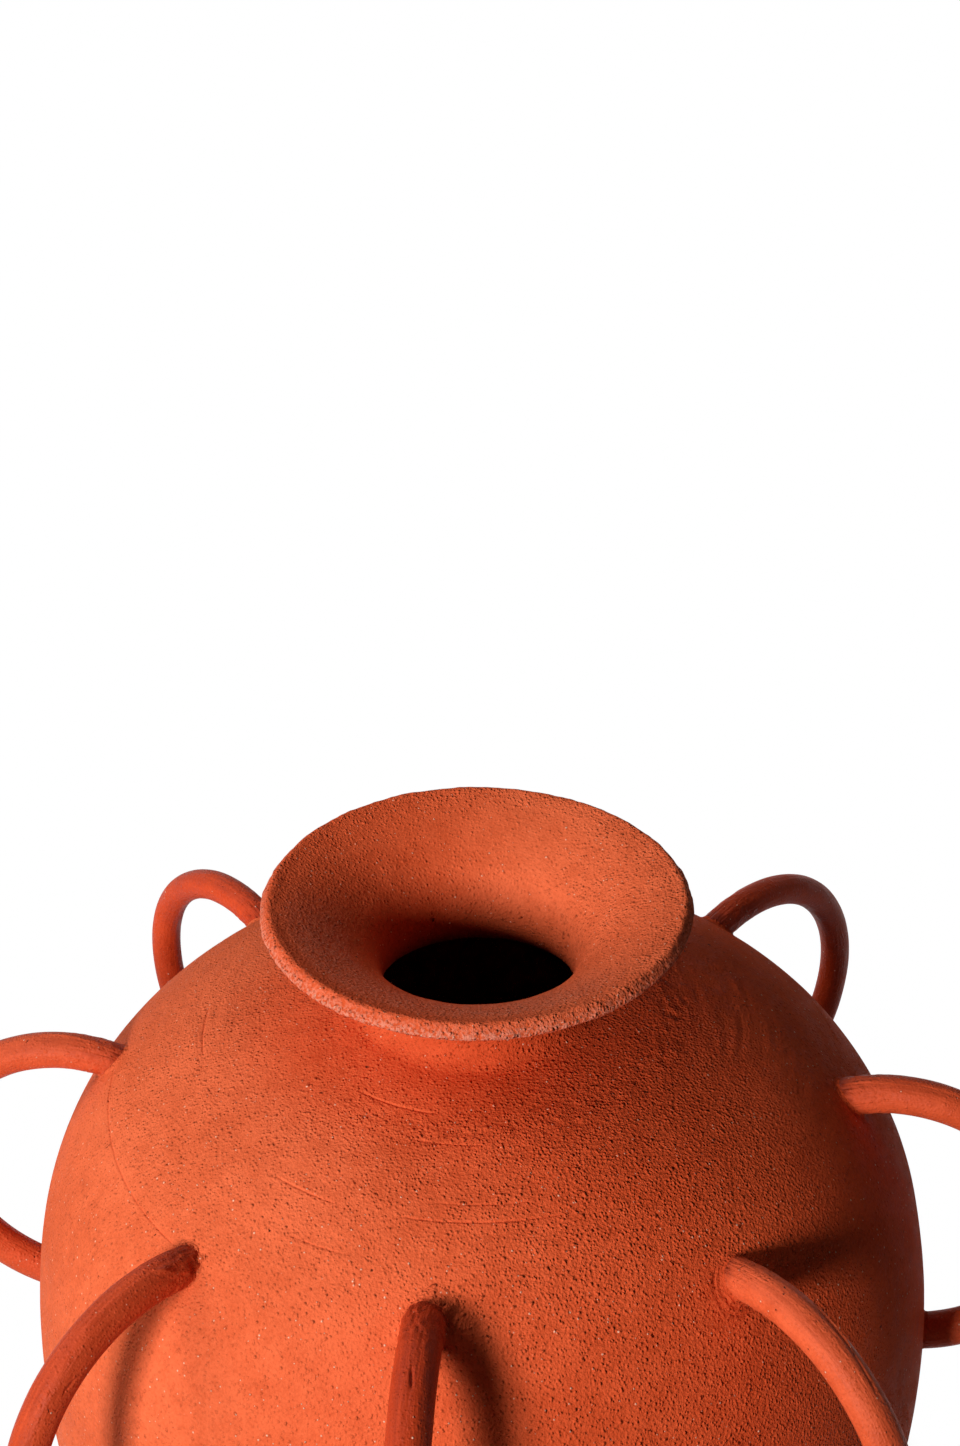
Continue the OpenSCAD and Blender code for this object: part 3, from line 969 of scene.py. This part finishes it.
def add_world():
    """Even, dim light from all round, seen as white by the camera."""
    world = bpy.data.worlds.new("studio")
    bpy.context.scene.world = world
    g = Graph(world)
    back = g.tree.nodes["Background"]
    back.inputs["Color"].default_value = (1, 1, 1, 1)
    g.put(back.inputs["Strength"],
          g.add("ShaderNodeMapRange", {"Value": g.seen(), "To Min": AMBIENT, "To Max": 1.0}))


def pose(place, right, up, ahead):
    """The matrix of a camera or lamp that looks ahead, with its right and up directions."""
    columns = np.eye(4)
    columns[:3] = np.stack([right, up, -ahead, place], 1)
    return Matrix(columns.tolist())


def add_lamp(name, place, size, power):
    """A soft square lamp, aimed at the vase."""
    lamp = bpy.data.lights.new(name, "AREA")
    lamp.shape = "SQUARE"
    lamp.size = size
    lamp.energy = power
    holder = bpy.data.objects.new(name, lamp)
    bpy.context.scene.collection.objects.link(holder)
    ahead = np.array(LAMP_AIM, float) - np.array(place, float)
    ahead /= np.linalg.norm(ahead)
    right = np.cross(ahead, (0, 0, 1))
    right /= np.linalg.norm(right)
    holder.matrix_world = pose(place, right, np.cross(right, ahead), ahead)


def add_camera():
    """The photograph's view, from above the front."""
    camera = bpy.data.cameras.new("camera")
    camera.sensor_fit = "VERTICAL"
    camera.sensor_height = CAMERA_FRAME
    camera.lens = CAMERA_LENS
    camera.clip_start = 0.01
    camera.clip_end = 60
    ahead = np.array([0, math.cos(CAMERA_PITCH), -math.sin(CAMERA_PITCH)])
    level = np.array([1.0, 0, 0])
    rise = np.array([0, math.sin(CAMERA_PITCH), math.cos(CAMERA_PITCH)])
    right = math.cos(CAMERA_ROLL) * level + math.sin(CAMERA_ROLL) * rise
    up = -math.sin(CAMERA_ROLL) * level + math.cos(CAMERA_ROLL) * rise
    holder = bpy.data.objects.new("camera", camera)
    holder.matrix_world = pose(CAMERA_PLACE, right, up, ahead)
    bpy.context.scene.collection.objects.link(holder)
    bpy.context.scene.camera = holder


def dress(piece, node, material):
    """Gives a piece its finish, and puts it in place of its solid."""
    piece.data.materials.append(material)
    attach(piece, "root")
    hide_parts(node)


body_clay = clay_material("body_terracotta", pale=(0.87, 0.108, 0.029, 1), deep=(0.69, 0.074, 0.017, 1),
                          size=1.25 * MM, grain=0.14 * MM, drag=0.6 * MM, pits=0.2, specks=0.75,
                          gloss=(0.58, 0.7), shine=0.04)
coil_clay = clay_material("coil_terracotta", pale=(0.74, 0.074, 0.017, 1), deep=(0.54, 0.044, 0.008, 1),
                          size=1.1 * MM, grain=0.045 * MM, drag=0.75 * MM, pits=0.06, specks=0.25,
                          gloss=(0.44, 0.56), shine=0.12)
lute_clay = clay_material("lute_terracotta", pale=(0.70, 0.080, 0.021, 1), deep=(0.50, 0.048, 0.011, 1),
                          size=1.3 * MM, grain=0.11 * MM, drag=0.8 * MM, pits=0.2, specks=0.3,
                          gloss=(0.55, 0.7), shine=0.04)

for piece in (bowl_piece(), dome_piece(), neck_piece()):
    dress(piece, piece.name.removesuffix("_clay"), body_clay)
for i, side in enumerate(SIDES):
    dress(handle_piece(i), "handle_" + side, coil_clay)
    dress(collar_piece(i, True), "upper_collar_" + side, lute_clay)
    dress(collar_piece(i, False), "lower_collar_" + side, lute_clay)

add_floor()
add_world()
for name, (place, size, power) in LAMPS.items():
    add_lamp(name, place, size, power)
add_camera()
bpy.context.scene.view_settings.view_transform = "Standard"
